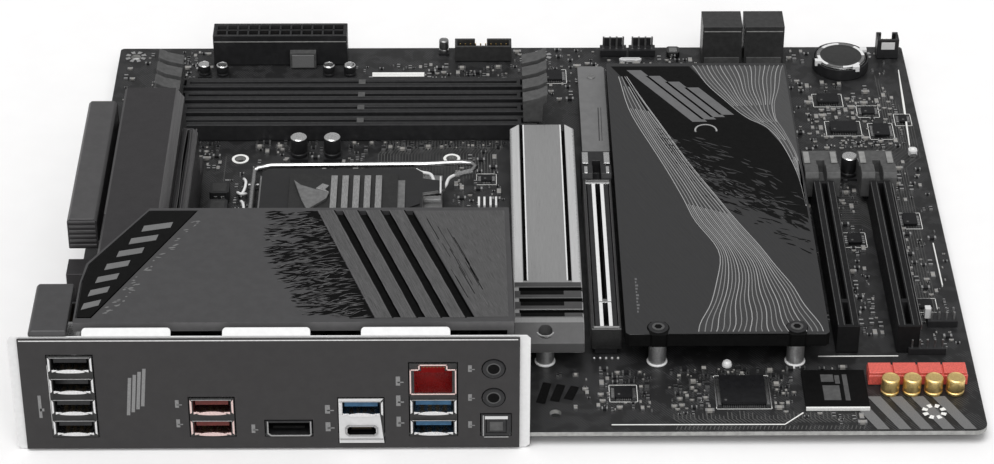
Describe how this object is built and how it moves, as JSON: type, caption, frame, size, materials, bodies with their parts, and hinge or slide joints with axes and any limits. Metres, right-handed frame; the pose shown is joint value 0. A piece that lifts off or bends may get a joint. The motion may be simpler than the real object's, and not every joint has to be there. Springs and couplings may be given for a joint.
{
  "type": "motherboard",
  "caption": "Full-size desktop motherboard with port cover, memory and expansion slots, drive heatsinks, processor socket with load lever, and hinged slot latches.",
  "frame": {"origin": "centre of the circuit board's underside", "axes": "+X from the board's top edge (processor power side) to its bottom edge, +Y from the rear port edge to the front edge, +Z out of the component side"},
  "size_m": [0.3162, 0.2461, 0.0476],
  "materials": {
    "board": "matt black solder mask over glass-fibre laminate",
    "black_plastic": "moulded black nylon",
    "grey_plastic": "moulded dark grey nylon",
    "cover": "satin dark grey moulding with a fine metallic look",
    "cover_metal": "brushed dark grey aluminium cover",
    "trim": "gloss black inlay",
    "heatsink": "anodised dark grey aluminium extrusion",
    "silver_sink": "brushed silver aluminium",
    "steel": "bright nickel-plated steel",
    "plate": "dark grey coated steel",
    "cap_plastic": "dark moulded cap",
    "silicon": "dark chip package",
    "red_film": "red film capacitor cases"
  },
  "bodies": {
    "root": {"atx_connector": "black_plastic", "audio_port_block": "black_plastic", "battery_holder": "black_plastic", "chipset": "silicon", "coin_cell": "steel", "corner_header": "black_plastic", "dimm_slot_1": "black_plastic", "dimm_slot_2": "black_plastic", "dimm_slot_3": "black_plastic", "dimm_slot_4": "black_plastic", "drive_shield": "cover_metal", "eps_connector": "black_plastic", "fan_header_1": "black_plastic", "fan_header_2": "black_plastic", "film_capacitors": "red_film", "io_cover": "cover", "io_cover_end": "cover", "io_face_plate": "plate", "io_rim": "steel", "io_trim_band": "trim", "lan_usb_stack": "steel", "m2_heatsink": "silver_sink", "pcb": "board", "pcie_armour": "steel", "pcie_slot_1": "black_plastic", "pcie_slot_2": "black_plastic", "pcie_slot_3": "black_plastic", "sata_block_1": "black_plastic", "sata_block_2": "black_plastic", "shield_screw_2": "black_plastic", "shield_screw_3": "black_plastic", "shield_screw_4": "black_plastic", "side_bar": "silver_sink", "socket_backplate": "steel", "socket_body": "black_plastic", "socket_frame": "steel", "standoff_1": "steel", "standoff_2": "steel", "standoff_3": "steel", "usb2_stack": "steel", "usb3_header": "black_plastic", "usb_red_stack": "steel", "usbc_stack": "steel", "video_port": "black_plastic", "vrm_heatsink_rear": "heatsink", "vrm_heatsink_top": "heatsink"},
    "dimm_latch_a1": {"dimm_latch_a1": "grey_plastic"},
    "dimm_latch_a2": {"dimm_latch_a2": "grey_plastic"},
    "dimm_latch_a3": {"dimm_latch_a3": "grey_plastic"},
    "dimm_latch_a4": {"dimm_latch_a4": "grey_plastic"},
    "dimm_latch_b1": {"dimm_latch_b1": "grey_plastic"},
    "dimm_latch_b2": {"dimm_latch_b2": "grey_plastic"},
    "dimm_latch_b3": {"dimm_latch_b3": "grey_plastic"},
    "dimm_latch_b4": {"dimm_latch_b4": "grey_plastic"},
    "load_lever": {"load_lever": "steel"},
    "load_plate": {"load_plate": "steel", "socket_cap": "cap_plastic"},
    "pcie_latch_1": {"pcie_latch_1": "black_plastic"},
    "pcie_latch_2": {"pcie_latch_2": "grey_plastic"},
    "pcie_latch_3": {"pcie_latch_3": "grey_plastic"}
  },
  "joints": [
    {"name": "load_lever_hinge", "type": "hinge", "parent": "root", "child": "load_lever", "pos_m": [-0.095, 0.00308, 0.005], "axis": [0, -1, 0], "range_deg": [0, 115]},
    {"name": "load_plate_hinge", "type": "hinge", "parent": "root", "child": "load_plate", "pos_m": [-0.095, 0.00308, 0.005], "axis": [0, -1, 0], "range_deg": [0, 100]},
    {"name": "dimm_latch_a1_hinge", "type": "hinge", "parent": "root", "child": "dimm_latch_a1", "pos_m": [-0.128, 0.05778, 0.0052], "axis": [0, -1, 0], "range_deg": [0, 25]},
    {"name": "dimm_latch_b1_hinge", "type": "hinge", "parent": "root", "child": "dimm_latch_b1", "pos_m": [0.007, 0.05778, 0.0052], "axis": [0, 1, 0], "range_deg": [0, 25]},
    {"name": "dimm_latch_a2_hinge", "type": "hinge", "parent": "root", "child": "dimm_latch_a2", "pos_m": [-0.128, 0.06688, 0.0052], "axis": [0, -1, 0], "range_deg": [0, 25]},
    {"name": "dimm_latch_b2_hinge", "type": "hinge", "parent": "root", "child": "dimm_latch_b2", "pos_m": [0.007, 0.06688, 0.0052], "axis": [0, 1, 0], "range_deg": [0, 25]},
    {"name": "dimm_latch_a3_hinge", "type": "hinge", "parent": "root", "child": "dimm_latch_a3", "pos_m": [-0.128, 0.07598, 0.0052], "axis": [0, -1, 0], "range_deg": [0, 25]},
    {"name": "dimm_latch_b3_hinge", "type": "hinge", "parent": "root", "child": "dimm_latch_b3", "pos_m": [0.007, 0.07598, 0.0052], "axis": [0, 1, 0], "range_deg": [0, 25]},
    {"name": "dimm_latch_a4_hinge", "type": "hinge", "parent": "root", "child": "dimm_latch_a4", "pos_m": [-0.128, 0.08508, 0.0052], "axis": [0, -1, 0], "range_deg": [0, 25]},
    {"name": "dimm_latch_b4_hinge", "type": "hinge", "parent": "root", "child": "dimm_latch_b4", "pos_m": [0.007, 0.08508, 0.0052], "axis": [0, 1, 0], "range_deg": [0, 25]},
    {"name": "pcie_latch_1_hinge", "type": "hinge", "parent": "root", "child": "pcie_latch_1", "pos_m": [0.0292, 0.02408, 0.0066], "axis": [-1, 0, 0], "range_deg": [0, 20]},
    {"name": "pcie_latch_2_hinge", "type": "hinge", "parent": "root", "child": "pcie_latch_2", "pos_m": [0.11048, 0.02408, 0.0066], "axis": [-1, 0, 0], "range_deg": [0, 20]},
    {"name": "pcie_latch_3_hinge", "type": "hinge", "parent": "root", "child": "pcie_latch_3", "pos_m": [0.1308, 0.02408, 0.0066], "axis": [-1, 0, 0], "range_deg": [0, 20]}
  ],
  "couplings": [
    {"joint": "load_plate_hinge", "follows": "load_lever_hinge", "ratio": 0.85}
  ]
}
